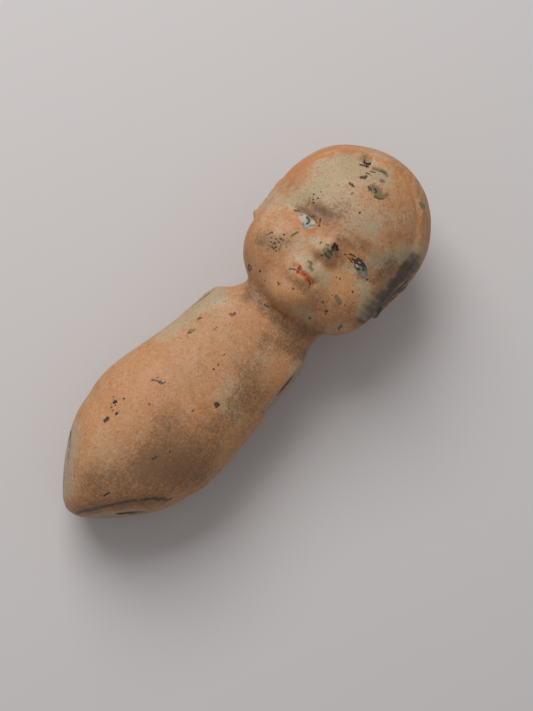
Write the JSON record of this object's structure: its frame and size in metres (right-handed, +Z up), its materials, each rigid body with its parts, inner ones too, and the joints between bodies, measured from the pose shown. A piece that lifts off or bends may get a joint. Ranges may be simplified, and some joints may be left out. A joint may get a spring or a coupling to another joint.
{
  "type": "doll trunk",
  "caption": "Limbless trunk of a small strung baby doll: hollow moulded body with head, painted flesh, with flat limb seats and string holes",
  "frame": {"origin": "middle of the bounding box at its lowest point, under the doll as it lies on its back", "axes": "+Y from crotch to crown, +Z up out of the face and belly, +X to the doll's left"},
  "size_m": [0.0428, 0.1222, 0.0408],
  "materials": {
    "painted_composition": "worn matte flesh paint over a grey-green ground on pressed sawdust composition",
    "hide_glue": "dried amber glue"
  },
  "bodies": {
    "root": {"front_half": "painted_composition", "back_half": "painted_composition", "head_seam_glue": "hide_glue", "right_side_seam_glue": "hide_glue", "left_side_seam_glue": "hide_glue", "crotch_seam_glue": "hide_glue"}
  },
  "joints": []
}
